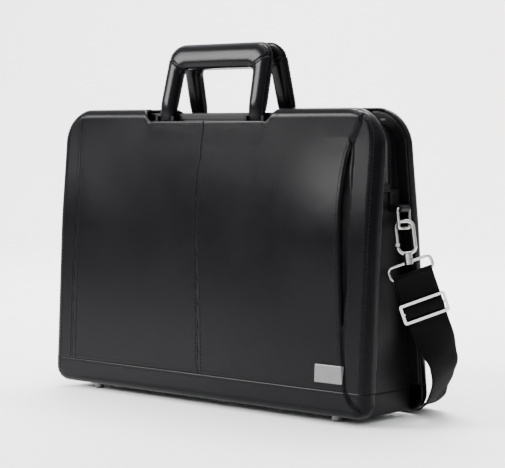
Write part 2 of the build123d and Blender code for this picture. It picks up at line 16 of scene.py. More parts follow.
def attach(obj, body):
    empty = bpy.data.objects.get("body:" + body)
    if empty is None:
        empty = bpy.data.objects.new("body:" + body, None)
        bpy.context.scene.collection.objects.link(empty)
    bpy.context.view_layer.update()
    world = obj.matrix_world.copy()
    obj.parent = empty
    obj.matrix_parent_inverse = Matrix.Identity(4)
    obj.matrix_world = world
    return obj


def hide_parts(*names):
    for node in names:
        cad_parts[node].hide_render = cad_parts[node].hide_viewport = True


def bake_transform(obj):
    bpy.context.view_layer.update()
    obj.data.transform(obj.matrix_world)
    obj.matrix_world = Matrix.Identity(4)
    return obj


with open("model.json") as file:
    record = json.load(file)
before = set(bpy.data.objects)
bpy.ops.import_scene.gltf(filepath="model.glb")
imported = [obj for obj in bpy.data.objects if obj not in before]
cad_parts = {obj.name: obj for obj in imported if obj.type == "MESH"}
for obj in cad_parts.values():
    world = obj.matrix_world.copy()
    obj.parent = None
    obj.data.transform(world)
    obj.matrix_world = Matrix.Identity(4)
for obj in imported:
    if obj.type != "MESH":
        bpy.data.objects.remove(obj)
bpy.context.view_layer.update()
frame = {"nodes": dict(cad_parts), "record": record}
NODES = frame["nodes"]
MM = 0.001
FINE = 1.0

# The body's shape, as in the CAD source
TOP_Z, BASE_Z = 293.0, 7.0
HALF = 210.0
CORNER_R = 36.0
CORNER_X, CORNER_Z = HALF - CORNER_R, TOP_Z - CORNER_R
RIM_DEPTH = 14.0
GUSSET_X = 196.0
SEAM_X = 182.0
SLOT_EDGE = 176.0
SLOT_TOP, SLOT_FOOT = 262.0, 88.0
FOOT_DEPTH, TOP_DEPTH_LOSS = 51.5, 20.5
FOOT_MIDDLE, TOP_MIDDLE_SHIFT = -19.8, -6.5


def half_depth(z):
    """Half the body's depth at a height."""
    return FOOT_DEPTH - TOP_DEPTH_LOSS * (z - BASE_Z) / (TOP_Z - BASE_Z)


def middle_y(z):
    """The body's middle plane, which leans forward as it rises."""
    return FOOT_MIDDLE + TOP_MIDDLE_SHIFT * (z - BASE_Z) / (TOP_Z - BASE_Z)


def face_y(side, z, depth=0.0):
    """The front (-1) or rear (1) face at a height, or a surface that deep under it."""
    return middle_y(z) + side * (half_depth(z) - depth)


# ---------------------------------------------------------------- camera, lights, sky
TARGET = Vector((0, -0.0163, 0.150))
camera_data = bpy.data.cameras.new("camera")
camera_data.lens, camera_data.sensor_width = 126, 36
camera_data.shift_x, camera_data.shift_y = 0.0362, 0.0352
camera = bpy.data.objects.new("camera", camera_data)
camera.location = (1.1898, -1.3378, 0.2742)
camera.rotation_euler = (TARGET - camera.location).to_track_quat("-Z", "Y").to_euler()
bpy.context.scene.collection.objects.link(camera)
bpy.context.scene.camera = camera


def area_light(name, at, size, power, aim=TARGET, size_y=None):
    data = bpy.data.lights.new(name, "AREA")
    data.energy, data.size = power, size
    if size_y:
        data.shape, data.size_y = "RECTANGLE", size_y
    light = bpy.data.objects.new(name, data)
    light.location = at
    light.rotation_euler = (Vector(aim) - Vector(at)).to_track_quat("-Z", "Y").to_euler()
    bpy.context.scene.collection.objects.link(light)


area_light("overhead", (-0.1, -0.3, 2.2), 1.6, 42)
area_light("key_panel", (-1.50, -1.68, 1.10), 0.85, 118, aim=(0.05, -0.05, 0.24), size_y=0.95)
area_light("backdrop_wash", (-0.6, 1.0, 2.4), 1.5, 210, aim=(-1.2, 2.2, 0.3))

world = bpy.data.worlds.new("studio")
world.use_nodes = True
sky = world.node_tree
sky_parts = sky.nodes.new("ShaderNodeSeparateXYZ")
sky.links.new(sky.nodes.new("ShaderNodeTexCoord").outputs["Generated"], sky_parts.inputs[0])
sky_rise = sky.nodes.new("ShaderNodeMapRange")
for socket, value in (("From Min", 0.05), ("From Max", 0.75), ("To Min", 0.3), ("To Max", 1.8)):
    sky_rise.inputs[socket].default_value = value
sky.links.new(sky_parts.outputs["Z"], sky_rise.inputs["Value"])
sky.links.new(sky_rise.outputs[0], sky.nodes["Background"].inputs["Strength"])
sky.nodes["Background"].inputs["Color"].default_value = (0.97, 0.98, 1.0, 1)
bpy.context.scene.world = world


# ---------------------------------------------------------------- materials
def new_material(name, **sockets):
    made = bpy.data.materials.new(name)
    made.use_nodes = True
    shader = made.node_tree.nodes["Principled BSDF"]
    for socket, value in sockets.items():
        shader.inputs[socket.replace("_", " ")].default_value = value
    return made, made.node_tree, shader


def add_node(tree, kind, settings=None, **sockets):
    made = tree.nodes.new(kind)
    for key, value in (settings or {}).items():
        setattr(made, key, value)
    for socket, value in sockets.items():
        made.inputs[socket.replace("_", " ")].default_value = value
    return made


def math_node(tree, operation, a, b=0.5, clamp=False):
    made = tree.nodes.new("ShaderNodeMath")
    made.operation, made.use_clamp = operation, clamp
    for i, value in enumerate((a, b)):
        if isinstance(value, (int, float)):
            made.inputs[i].default_value = value
        else:
            tree.links.new(value, made.inputs[i])
    return made.outputs[0]


def mix_colour(tree, share, a, b):
    made = tree.nodes.new("ShaderNodeMix")
    made.data_type = "RGBA"
    for socket, value in ((0, share), (6, a), (7, b)):
        if isinstance(value, (tuple, float, int)):
            made.inputs[socket].default_value = value
        else:
            tree.links.new(value, made.inputs[socket])
    return made.outputs[2]


def bump(tree, shader, height, distance, strength=1.0):
    made = add_node(tree, "ShaderNodeBump", Strength=strength, Distance=distance)
    tree.links.new(height, made.inputs["Height"])
    tree.links.new(made.outputs[0], shader.inputs["Normal"])


def leather_material(name, base, light, rough, gloss, grain=820.0, depth=0.000028):
    """Fine pebbled leather: raised cells with creases between, mottled tone, and worn convex edges."""
    made, tree, shader = new_material(name, Specular_IOR_Level=gloss)
    where = tree.nodes.new("ShaderNodeTexCoord").outputs["Object"]
    bend = add_node(tree, "ShaderNodeTexNoise", Scale=160.0, Detail=2.0)
    cells = add_node(tree, "ShaderNodeTexVoronoi", {"feature": "DISTANCE_TO_EDGE"}, Scale=grain)
    pores = add_node(tree, "ShaderNodeTexNoise", Scale=grain * 1.9, Detail=3.0)
    mottle = add_node(tree, "ShaderNodeTexNoise", Scale=14.0, Detail=5.0, Roughness=0.6)
    for textured in (bend, pores, mottle):
        tree.links.new(where, textured.inputs["Vector"])
    shifted = add_node(tree, "ShaderNodeVectorMath", {"operation": "MULTIPLY_ADD"})
    tree.links.new(bend.outputs["Color"], shifted.inputs[0])
    shifted.inputs[1].default_value = (0.0012, 0.0012, 0.0012)
    tree.links.new(where, shifted.inputs[2])
    tree.links.new(shifted.outputs[0], cells.inputs["Vector"])
    pebble = math_node(tree, "POWER", math_node(tree, "MULTIPLY", cells.outputs["Distance"], 2.6, True), 0.6)
    height = math_node(tree, "ADD", pebble, math_node(tree, "MULTIPLY", pores.outputs[0], 0.5))
    height = math_node(tree, "ADD", height, math_node(tree, "MULTIPLY", bend.outputs[0], 0.7))
    bump(tree, shader, height, depth, 0.8)
    worn = math_node(tree, "MULTIPLY", math_node(tree, "SUBTRACT", tree.nodes.new(
        "ShaderNodeNewGeometry").outputs["Pointiness"], 0.53), 9.0, True)
    tone = mix_colour(tree, mottle.outputs[0], (*base, 1), (*light, 1))
    edge_tone = (*[v * 2.2 + 0.01 for v in light], 1)
    tone = mix_colour(tree, math_node(tree, "MULTIPLY", worn, 0.5), tone, edge_tone)
    tree.links.new(tone, shader.inputs["Base Color"])
    sheen = math_node(tree, "MULTIPLY_ADD", mottle.outputs[0], 0.16)
    sheen.node.inputs[2].default_value = rough - 0.08
    sheen = math_node(tree, "SUBTRACT", sheen, math_node(tree, "MULTIPLY", pebble, 0.07))
    tree.links.new(sheen, shader.inputs["Roughness"])
    return made


def woven_material(name, base, light, scale, depth):
    """Cloth: over-and-under threads from two crossed waves, with a soft fuzz."""
    made, tree, shader = new_material(name, Roughness=0.85, Sheen_Weight=0.25, Specular_IOR_Level=0.3)
    where = tree.nodes.new("ShaderNodeTexCoord").outputs["Object"]
    parts = tree.nodes.new("ShaderNodeSeparateXYZ")
    tree.links.new(where, parts.inputs[0])
    warp_thread = math_node(tree, "SINE", math_node(tree, "MULTIPLY", parts.outputs["X"], scale))
    weft_thread = math_node(tree, "SINE", math_node(tree, "MULTIPLY", parts.outputs["Z"], scale))
    weave = math_node(tree, "MULTIPLY_ADD", math_node(tree, "MULTIPLY", warp_thread, weft_thread), 0.5)
    weave.node.inputs[2].default_value = 0.5
    fuzz = add_node(tree, "ShaderNodeTexNoise", Scale=900.0, Detail=3.0)
    tree.links.new(where, fuzz.inputs["Vector"])
    height = math_node(tree, "ADD", weave, math_node(tree, "MULTIPLY", fuzz.outputs[0], 0.5))
    bump(tree, shader, height, depth)
    tree.links.new(mix_colour(tree, weave, (*base, 1), (*light, 1)), shader.inputs["Base Color"])
    return made


def webbing_material(name, base, light):
    """Ribbed strap webbing, by the strip's own run: ribs across it, fine threads along it."""
    rib_pitch, thread_pitch = 0.0016, 0.0011
    made, tree, shader = new_material(name, Roughness=0.85, Sheen_Weight=0.02, Specular_IOR_Level=0.07)
    parts = tree.nodes.new("ShaderNodeSeparateXYZ")
    tree.links.new(tree.nodes.new("ShaderNodeTexCoord").outputs["UV"], parts.inputs[0])
    rib = math_node(tree, "SINE", math_node(tree, "MULTIPLY", parts.outputs["Y"], 2 * math.pi / rib_pitch))
    thread = math_node(tree, "SINE",
                       math_node(tree, "MULTIPLY", parts.outputs["X"], 2 * math.pi / thread_pitch))
    height = math_node(tree, "MULTIPLY_ADD", rib, 0.35)
    height.node.inputs[2].default_value = 0.5
    crossed = math_node(tree, "MULTIPLY", rib, thread)
    height = math_node(tree, "ADD", height, math_node(tree, "MULTIPLY", crossed, 0.3))
    bump(tree, shader, height, 0.00035)
    tree.links.new(mix_colour(tree, height, (*base, 1), (*light, 1)), shader.inputs["Base Color"])
    return made


def metal_material(name, colour, rough, streaks=(60.0, 60.0, 900.0), depth=0.00003):
    """Plated metal: fine streaks from polishing, and smudges that change its gloss."""
    made, tree, shader = new_material(name, Metallic=1.0)
    where = tree.nodes.new("ShaderNodeTexCoord").outputs["Object"]
    scaled = add_node(tree, "ShaderNodeMapping", Scale=streaks)
    streak = add_node(tree, "ShaderNodeTexNoise", Scale=6.0, Detail=3.0)
    smudge = add_node(tree, "ShaderNodeTexNoise", Scale=140.0, Detail=4.0)
    tree.links.new(where, scaled.inputs[0])
    tree.links.new(scaled.outputs[0], streak.inputs["Vector"])
    tree.links.new(where, smudge.inputs["Vector"])
    gloss = math_node(tree, "MULTIPLY_ADD", smudge.outputs[0], 0.22)
    gloss.node.inputs[2].default_value = rough - 0.1
    tree.links.new(gloss, shader.inputs["Roughness"])
    dark = tuple(v * 0.8 for v in colour)
    tree.links.new(mix_colour(tree, smudge.outputs[0], (*dark, 1), (*colour, 1)), shader.inputs["Base Color"])
    bump(tree, shader, streak.outputs[0], depth, 0.5)
    return made


def thread_material(name, base, light):
    """Waxed thread: twisted strands seen as slanted bands."""
    made, tree, shader = new_material(name, Roughness=0.6, Specular_IOR_Level=0.08)
    twist = add_node(tree, "ShaderNodeTexWave", {"bands_direction": "DIAGONAL"}, Scale=1400.0,
                     Distortion=1.0)
    tree.links.new(tree.nodes.new("ShaderNodeTexCoord").outputs["Object"], twist.inputs["Vector"])
    bump(tree, shader, twist.outputs["Fac"], 0.00008)
    tone = mix_colour(tree, twist.outputs["Fac"], (*base, 1), (*light, 1))
    tree.links.new(tone, shader.inputs["Base Color"])
    return made


BLACK, BLACK_LIGHT = (0.0022, 0.0022, 0.0026), (0.0032, 0.0031, 0.0038)
LEATHER = leather_material("leather_black", BLACK, BLACK_LIGHT, rough=0.235, gloss=0.075)
LEATHER_REAR = leather_material("leather_rear", BLACK, BLACK_LIGHT, rough=0.55, gloss=0.075)
LEATHER_DARK = leather_material("leather_gusset", (0.002, 0.002, 0.0022), (0.004, 0.004, 0.0044),
                                rough=0.5, gloss=0.14)
THREAD = thread_material("thread_black", (0.004, 0.004, 0.0043), (0.012, 0.012, 0.0128))
WEBBING = webbing_material("webbing_black", (0.0007, 0.0007, 0.0008), (0.003, 0.003, 0.0033))
TAPE = woven_material("zip_tape_black", (0.004, 0.004, 0.0045), (0.016, 0.016, 0.017), 5200.0, 0.0001)
LINING = woven_material("lining_grey", (0.035, 0.036, 0.042), (0.075, 0.077, 0.085), 3600.0, 0.0002)
NICKEL = metal_material("nickel_satin", (0.5, 0.495, 0.48), 0.22)
PLATE = metal_material("plate_brushed", (0.15, 0.15, 0.15), 0.36, streaks=(30.0, 30.0, 2500.0), depth=0.00005)
ZIP_METAL = metal_material("zip_nickel_dark", (0.13, 0.13, 0.135), 0.36)
STEEL_BLACK = metal_material("bracket_black", (0.012, 0.012, 0.013), 0.55)
BOARD = woven_material("core_board", (0.05, 0.05, 0.05), (0.09, 0.09, 0.09), 1800.0, 0.0002)
SLOT_MATERIALS = {"leather": LEATHER, "webbing": WEBBING, "zip_tape": TAPE, "zip_metal": ZIP_METAL,
                  "nickel": NICKEL, "bracket_steel": STEEL_BLACK, "core_board": BOARD, "lining": LINING}
FINISHES = {"tab_rivets": STEEL_BLACK, "handle_pins": STEEL_BLACK, "zip_pull": ZIP_METAL,
            "zip_slider": ZIP_METAL, "feet": PLATE, "foot_washers": PLATE}
for row in frame["record"]["subparts"]:
    node_mesh = NODES[row["node"]].data
    node_mesh.materials.clear()
    node_mesh.materials.append(FINISHES.get(row["node"]) or SLOT_MATERIALS[row["material_slot"]])


# ---------------------------------------------------------------- floor
def floor_material():
    made, tree, shader = new_material("floor_white", Roughness=0.6)
    tone = add_node(tree, "ShaderNodeTexNoise", Scale=3.0, Detail=2.0)
    tree.links.new(tree.nodes.new("ShaderNodeTexCoord").outputs["Object"], tone.inputs["Vector"])
    tree.links.new(mix_colour(tree, tone.outputs[0], (0.90, 0.90, 0.905, 1), (0.93, 0.93, 0.93, 1)),
                   shader.inputs["Base Color"])
    return made


# A sheet of paper (metres): flat under the case, curved up behind it, square to the camera
PAPER_FRONT, PAPER_BEND, PAPER_R, PAPER_TOP, PAPER_HALF = -6.0, 2.2, 1.2, 5.0, 8.0
sweep_back = [(PAPER_FRONT, 0.0), (PAPER_BEND, 0.0)]
sweep_back += [(PAPER_BEND + PAPER_R * math.sin(a), PAPER_R - PAPER_R * math.cos(a))
               for a in np.linspace(0.1, math.pi / 2, 12)]
sweep_back += [(PAPER_BEND + PAPER_R, PAPER_TOP)]
floor_mesh = bpy.data.meshes.new("floor")
floor_points = [(x, y, z) for y, z in sweep_back for x in (-PAPER_HALF, PAPER_HALF)]
floor_faces = [(2 * i, 2 * i + 1, 2 * i + 3, 2 * i + 2) for i in range(len(sweep_back) - 1)]
floor_mesh.from_pydata(floor_points, [], floor_faces)
floor_mesh.shade_smooth()
floor_mesh.materials.append(floor_material())
floor = bpy.data.objects.new("floor", floor_mesh)
floor.rotation_euler = (0, 0, math.radians(42))
bpy.context.scene.collection.objects.link(floor)


# ---------------------------------------------------------------- how the leather sits
def ease(t):
    """A smooth step from 0 to 1."""
    t = np.clip(t, 0, 1)
    return t * t * (3 - 2 * t)


# Free edge of the pocket front and the middle seam: height above the floor, and x
POCKET_EDGE = ((8, 212), (15, 204), (22, 193), (33, 185.5), (71, 181), (117, 177.5), (178, 174.5), (203, 173),
               (231, 174.5), (248, 177), (261, 181.5), (270, 186), (279, 189.5), (293, 191))
MIDDLE_SEAM = ((7, 2), (36, 1.5), (100, -2), (171, -7), (226, -8.5), (242, -5), (279, -2), (293, -2))


def along_table(table, z):
    """A table's x at a height."""
    heights, xs = zip(*table)
    return np.interp(z, heights, xs)


def pocket_edge_x(z):
    return along_table(POCKET_EDGE, z)


def settle(points):
    """Moves points of the nominal body to where the real leather sits."""
    # all sizes below are millimetres of the nominal body: where a change starts, and over how far it grows
    x, y, z = np.array(points, float).reshape(-1, 3).T.copy()
    reach = y - middle_y(z)
    front = ease((-reach - half_depth(z) + 7.0) / 3.0)
    # the front's own lines: the middle seam waists, and the pocket's free edge wanders
    x_new = x + front * along_table(MIDDLE_SEAM, z) * np.exp(-((x / 55) ** 2))
    near_slot = np.where(x < SLOT_EDGE, ease((x - 140) / 36), 1 - ease((x - SLOT_EDGE) / 8))
    in_slot = ease((z - 82) / 12) * (1 - ease((z - 256) / 12))
    x_new += front * near_slot * in_slot * (pocket_edge_x(z) - SLOT_EDGE)
    beside = np.where(x < 184, ease((x - 140) / 44), 1 - ease((x - 184) / 24))
    to_corner = np.hypot(np.maximum(x - CORNER_X, 0), z - CORNER_Z)
    rim = np.where(z > CORNER_Z, CORNER_R - to_corner, HALF - x)
    top_shift = ease((z - 252) / 12) * np.clip(pocket_edge_x(z) - 184, 0, 16)
    x_new += front * top_shift * beside * ease((rim - 1) / 6)
    # drawn in at the top corners, a little crowned between
    corners = ease((np.abs(x) - 30) / 165) * ease((z - 165) / 120)
    crown = np.clip(1 - (x / 205) ** 2, 0, 1) * np.sin(np.pi * np.clip((z - 20) / 262, 0, 1))
    reach = reach * (1 - 0.13 * corners + 0.035 * crown)
    # the notches' lips are turned over and stand up a little
    in_notch = (z < 282) * (1 - ease((np.abs(x) - 73) / 9)) * (np.abs(reach) > 20)
    z = z + 1.7 * ease((z - 256) / 22) * in_notch
    # the pocket front lies over the side band, and its free edge gapes
    over = 0.5 * (1 + np.tanh((pocket_edge_x(z) - x_new) / 0.55)) * ease((x + 120) / 220)
    gape = ease((x - 95) / 80) * (x < 180) * np.sin(np.pi * np.clip((z - 80) / 190, 0, 1)) ** 2
    reach -= front * (1.7 * over + 1.5 * gape * over)
    return np.stack([x_new, middle_y(z) + reach, z], 1)


def slot_ends(points):
    """Draws both ends of the pocket's mouth out to a point, then settles the panel."""
    points = np.array(points, float).reshape(-1, 3)
    x, z = points[:, 0], points[:, 2]
    share = ease((x - SLOT_EDGE - 0.5) / 7.2)
    above = -52 * share * (1 - ease((z - SLOT_TOP) / 16)) * (z > SLOT_TOP - 2)
    below = 34 * share * (1 - ease((SLOT_FOOT - z) / 16)) * (z < SLOT_FOOT + 2)
    moved = z + above + below
    points[:, 1] += face_y(-1, moved) - face_y(-1, z)
    points[:, 2] = moved
    return settle(points)


def as_is(points):
    return np.array(points, float).reshape(-1, 3)


# ---------------------------------------------------------------- making pieces
def finish_piece(piece, body, stands_for=()):
    """Sets the body a piece rides on (None: it rides on none), and hides the nodes it stands for."""
    if body:
        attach(piece, body)
    if stands_for:
        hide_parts(*stands_for)
    return piece


def new_piece(name, points, faces, material, body="root", stands_for=(), uvs=None,
              smooth=True):
    """A mesh from points in millimetres."""
    mesh = bpy.data.meshes.new(name)
    mesh.from_pydata((np.asarray(points, float) * MM).tolist(), [], faces)
    mesh.update()
    if smooth:
        mesh.shade_smooth()
    if uvs is not None:
        layer = mesh.uv_layers.new(name="run")
        corner = np.zeros(len(mesh.loops), int)
        mesh.loops.foreach_get("vertex_index", corner)
        layer.data.foreach_set("uv", (np.asarray(uvs, float)[corner] * MM).ravel())
    mesh.materials.append(material)
    piece = bpy.data.objects.new(name, mesh)
    bpy.context.scene.collection.objects.link(piece)
    return finish_piece(piece, body, stands_for)


def back_to(surface, points):
    """Sets smoothed points back on the surface they came from, except where its edges were worn round."""
    near = np.array([surface.find_nearest(Vector(p))[0] for p in points])
    off = np.linalg.norm(near - points, axis=1)
    share = 1 - ease((off / MM / FINE - 0.28) / 0.35)
    return points + (near - points) * share[:, None]


def soft_form(name, nodes, material=LEATHER, body="root", voxel=1.4, relax=3, shape=settle,
              dent=None, grow=(0.55, 0.0, 0.55), snap=True):
    """A leather or cloth piece grown from its CAD solid: remeshed, its edges worn round, then settled."""
    joined = bmesh.new()
    for n in nodes:
        joined.from_mesh(NODES[n].data)
    mesh = bpy.data.meshes.new(name)
    joined.to_mesh(mesh)
    joined.free()
    piece = bpy.data.objects.new(name, mesh)
    bpy.context.scene.collection.objects.link(piece)
    cad_surface = BVHTree.FromObject(piece, bpy.context.evaluated_depsgraph_get())
    grown = piece.modifiers.new("grow", "REMESH")
    grown.mode, grown.voxel_size = "VOXEL", voxel * FINE * MM
    worn = piece.modifiers.new("wear", "SMOOTH")
    worn.factor, worn.iterations = 0.5, relax
    bpy.context.view_layer.update()
    final = bpy.data.meshes.new_from_object(piece.evaluated_get(bpy.context.evaluated_depsgraph_get()))
    piece.modifiers.clear()
    piece.data = final
    bpy.data.meshes.remove(mesh)
    final.name = name
    points = np.zeros(len(final.vertices) * 3)
    final.vertices.foreach_get("co", points)
    points = points.reshape(-1, 3)
    points = (back_to(cad_surface, points) if snap else points) / MM
    low, high = points.min(0), points.max(0)
    middle = (low + high) / 2
    points = middle + (points - middle) * (1 + 2 * FINE * np.array(grow) / (high - low))
    if dent is not None:
        normals = np.zeros(len(final.vertices) * 3)
        final.vertices.foreach_get("normal", normals)
        points = points - normals.reshape(-1, 3) * dent(points)[:, None]
    final.vertices.foreach_set("co", (shape(points) * MM).ravel())
    final.update()
    final.shade_smooth()
    final.materials.clear()
    final.materials.append(material)
    return finish_piece(piece, body, nodes)


def rounded(corners, radius):
    """A flat path through the corners, its inner ones rounded."""
    corners = [np.array(c, float) for c in corners]
    path = [corners[0]]
    for a, b, c in zip(corners, corners[1:], corners[2:]):
        u, v = (a - b) / np.linalg.norm(a - b), (c - b) / np.linalg.norm(c - b)
        half = math.acos(np.clip(u @ v, -1, 1)) / 2
        centre = b + (u + v) / np.linalg.norm(u + v) * radius / math.sin(half)
        p, q = b + u * radius / math.tan(half) - centre, b + v * radius / math.tan(half) - centre
        for t in np.linspace(0, 1, 12):
            w = p * (1 - t) + q * t
            path.append(centre + w / np.linalg.norm(w) * radius)
    path.append(corners[-1])
    return np.array(path)


def spaced(path, step):
    """Evenly spaced points along a path, ends included."""
    path = np.asarray(path, float)
    run = np.concatenate([[0], np.cumsum(np.linalg.norm(np.diff(path, axis=0), axis=1))])
    at = np.linspace(0, run[-1], max(2, int(round(run[-1] / step)) + 1))
    return np.stack([np.interp(at, run, path[:, i]) for i in range(path.shape[1])], 1)


def tree_of(*pieces):
    """Search trees of the pieces, for laying stitches on them."""
    depsgraph = bpy.context.evaluated_depsgraph_get()
    return [BVHTree.FromObject(p, depsgraph) for p in pieces]


def drop_on(trees, points, inward, reach=20.0):
    """Where rays from outside the points, going inward, first meet the pieces."""
    found = []
    for p, d in zip(points, inward):
        d = Vector(d).normalized()
        start = Vector(p * MM) - d * reach * MM
        best = None
        for tree in trees:
            hit, normal, _, distance = tree.ray_cast(start, d, 2 * reach * MM)
            if hit is not None and (best is None or distance < best[2]):
                best = (np.array(hit) / MM, np.array(normal), distance)
        found.append(best)
    return found


def stitches(name, path, inward, trees, body="root", step=3.9, length=3.1, radius=0.36, shape=settle):
    """A row of separate stitches laid on the pieces, each a length of thread that dives in at its ends."""
    path = spaced(shape(spaced(path, 1.0)), step)
    inward = inward(path) if callable(inward) else np.broadcast_to(np.asarray(inward, float), path.shape)
    run = np.gradient(path, axis=0)
    run /= np.linalg.norm(run, axis=1)[:, None]
    points, faces = [], []
    near = drop_on(trees, path - run * length * 0.36, inward)
    far = drop_on(trees, path + run * length * 0.36, inward)
    # along the stitch (share of its length), thickness (share of the radius), height over the leather (mm)
    profile = ((-0.5, 0.45, -0.28), (-0.34, 0.9, 0.12), (0.0, 1.0, 0.22), (0.34, 0.9, 0.12),
               (0.5, 0.45, -0.28))
    sides = 6
    for a, b in zip(near, far):
        if a is None or b is None or np.linalg.norm(a[0] - b[0]) > 1.5 * length:
            continue
        middle, along = (a[0] + b[0]) / 2, b[0] - a[0]
        along = along / np.linalg.norm(along)
        up = a[1] + b[1]
        up = up - along * (up @ along)
        up = up / np.linalg.norm(up)
        across = np.cross(along, up)
        first = len(points)
        for t, wide, lift in profile:
            for k in range(sides):
                turn = 2 * math.pi * k / sides
                points.append(middle + along * t * length + up * (lift + wide * radius * math.sin(turn))
                              + across * wide * radius * math.cos(turn))
        rings = len(profile)
        for i in range(rings - 1):
            for k in range(sides):
                m = (k + 1) % sides
                faces.append((first + i * sides + k, first + i * sides + m,
                              first + (i + 1) * sides + m, first + (i + 1) * sides + k))
        faces.append(tuple(first + k for k in reversed(range(sides))))
        faces.append(tuple(first + (rings - 1) * sides + k for k in range(sides)))
    if points:
        new_piece(name, np.array(points), faces, THREAD, body)


def swept(name, path, wide, section, material, body="root", stands_for=()):
    """A closed section carried along a path; section points are (along the width, outward)."""
    path = np.asarray(path, float)
    wide = np.broadcast_to(np.asarray(wide, float), path.shape)
    run = np.gradient(path, axis=0)
    run /= np.linalg.norm(run, axis=1)[:, None]
    wide = wide - run * np.sum(wide * run, axis=1)[:, None]
    wide = wide / np.linalg.norm(wide, axis=1)[:, None]
    out = np.cross(wide, run)
    length = np.concatenate([[0], np.cumsum(np.linalg.norm(np.diff(path, axis=0), axis=1))])
    section = np.asarray(section, float)
    points, uvs, faces = [], [], []
    for i, p in enumerate(path):
        points.extend(p + wide[i] * a + out[i] * b for a, b in section)
        uvs.extend((a, length[i]) for a, _ in section)
    n = len(section)
    for i in range(len(path) - 1):
        for k in range(n):
            m = (k + 1) % n
            faces.append((i * n + k, i * n + m, (i + 1) * n + m, (i + 1) * n + k))
    faces.append(tuple(reversed(range(n))))
    faces.append(tuple((len(path) - 1) * n + k for k in range(n)))
    return new_piece(name, np.array(points), faces, material, body, stands_for, uvs)


def band_section(width, thick, crown=0.0, steps=7):
    """A flat strap's section with rounded edges; crown lifts its middle."""
    xs = np.linspace(-width / 2 + thick * 0.4, width / 2 - thick * 0.4, steps)
    lift = crown * (1 - (2 * xs / width) ** 2)
    over = [(x, thick / 2 + c) for x, c in zip(xs, lift)]
    under = [(x, -thick / 2 + c) for x, c in zip(xs[::-1], lift[::-1])]
    return [*over, (width / 2, 0), *under, (-width / 2, 0)]


# ---------------------------------------------------------------- body leather
front_left = soft_form("front_leather_left", ["front_panel_left"], voxel=1.1)
front_right = soft_form("front_leather_right", ["front_panel_right"], voxel=1.15, shape=slot_ends)
front_band_left = soft_form("front_side_leather_left", ["front_side_band_left"], voxel=1.2)
front_band_right = soft_form("front_side_leather_right", ["front_side_band_right"], voxel=1.0)
front_base = soft_form("front_base_leather", ["front_base_band"], voxel=1.3)
rear_main = soft_form("rear_leather", ["rear_wall"], LEATHER_REAR, voxel=1.5)
rear_band_left = soft_form("rear_side_leather_left", ["rear_side_band_left"], voxel=1.4)
rear_band_right = soft_form("rear_side_leather_right", ["rear_side_band_right"], voxel=1.3)
rear_base = soft_form("rear_base_leather", ["rear_base_band"], voxel=1.2)


def pocket_slack(points):
    """The rear pocket's mouth hangs a little slack between its sides."""
    points = settle(points)
    mouth = np.exp(-(((points[:, 2] - 236) / 45) ** 2)) * np.clip(1 - (points[:, 0] / 168) ** 2, 0, 1)
    points[:, 1] += 1.6 * mouth * (points[:, 1] > face_y(1, points[:, 2]) + 4)
    return points


rear_pocket = soft_form("rear_pocket_leather", ["rear_pocket_panel"], LEATHER_REAR, voxel=1.3,
                        shape=pocket_slack)


def zip_channel(points):
    """How far the gusset dips along its middle, where the zip's end is sewn in."""
    channel_depth, channel_half, channel_foot = 1.5, 5.0, 212
    off = np.abs(points[:, 1] - middle_y(points[:, 2]))
    high = ease((points[:, 2] - channel_foot) / 12)
    return channel_depth * high * (1 - ease((off - channel_half) / 1.3))


ENDWAYS = (0.0, 0.7, 0.6)
gusset_right = soft_form("gusset_leather_right", ["gusset_right"], LEATHER_DARK, voxel=1.1,
                         dent=zip_channel, grow=ENDWAYS)
gusset_left = soft_form("gusset_leather_left", ["gusset_left"], LEATHER_DARK, voxel=1.3,
                        dent=zip_channel, grow=ENDWAYS)
soft_form("bottom_leather", ["bottom_panel"], LEATHER_DARK, voxel=1.5, grow=ENDWAYS)
for name in ("front_seam_flange_left", "front_seam_flange_right", "rear_seam_flange_left",
             "rear_seam_flange_right"):
    soft_form(name.replace("flange", "turning"), [name], LEATHER_DARK, voxel=1.3)
soft_form("front_notch_leather", ["front_notch_band"], LEATHER_DARK, voxel=1.3)
soft_form("rear_notch_leather", ["rear_notch_band"], LEATHER_DARK, voxel=1.3)
soft_form("front_pocket_lining", ["front_pocket_back"], TAPE, voxel=0.8 / FINE)
soft_form("rear_wall_lining", ["rear_lining"], LINING, voxel=0.75 / FINE)


# ---------------------------------------------------------------- stitching on the body
def on_face(side, path):
    """A path of (x, z) lifted to the front or rear face."""
    path = np.asarray(path, float)
    return np.stack([path[:, 0], face_y(side, path[:, 1]), path[:, 1]], 1)


FRONT_IN, REAR_IN = (0, 1, 0), (0, -1, 0)
front_trees = tree_of(front_left, front_right, front_band_left, front_band_right, front_base)
rear_trees = tree_of(rear_main, rear_band_left, rear_band_right, rear_base)
heights = np.linspace(35, 226, 80)
for off, end in ((-3.4, "left"), (3.4, "right")):
    row = np.stack([np.full(len(heights), off), heights], 1)
    stitches(f"stitch_front_middle_{end}", on_face(-1, row), FRONT_IN, front_trees)
stitches("stitch_front_base", on_face(-1, [(-206, 28.6), (206, 28.6)]), FRONT_IN, front_trees)
stitches("stitch_front_panel_foot", on_face(-1, [(-179, 35.6), (178, 35.6)]), FRONT_IN, front_trees)
for hand, end in ((-1, "left"), (1, "right")):
    for inset in (4.6, 9.0):
        row = rounded([((HALF - inset) * hand, 12), ((HALF - inset) * hand, TOP_Z - inset),
                       (184.5 * hand, TOP_Z - inset)], CORNER_R - inset - 5)
        stitches(f"stitch_front_edge_{end}_{int(inset)}", on_face(-1, row), FRONT_IN, front_trees)
        stitches(f"stitch_rear_edge_{end}_{int(inset)}", on_face(1, row), REAR_IN, rear_trees)
    for place, x, top in (("", 186 * hand, 276), ("inner_", 178 * hand, 288)):
        stitches(f"stitch_rear_seam_{place}{end}", on_face(1, [(x, 34), (x, top)]), REAR_IN, rear_trees)
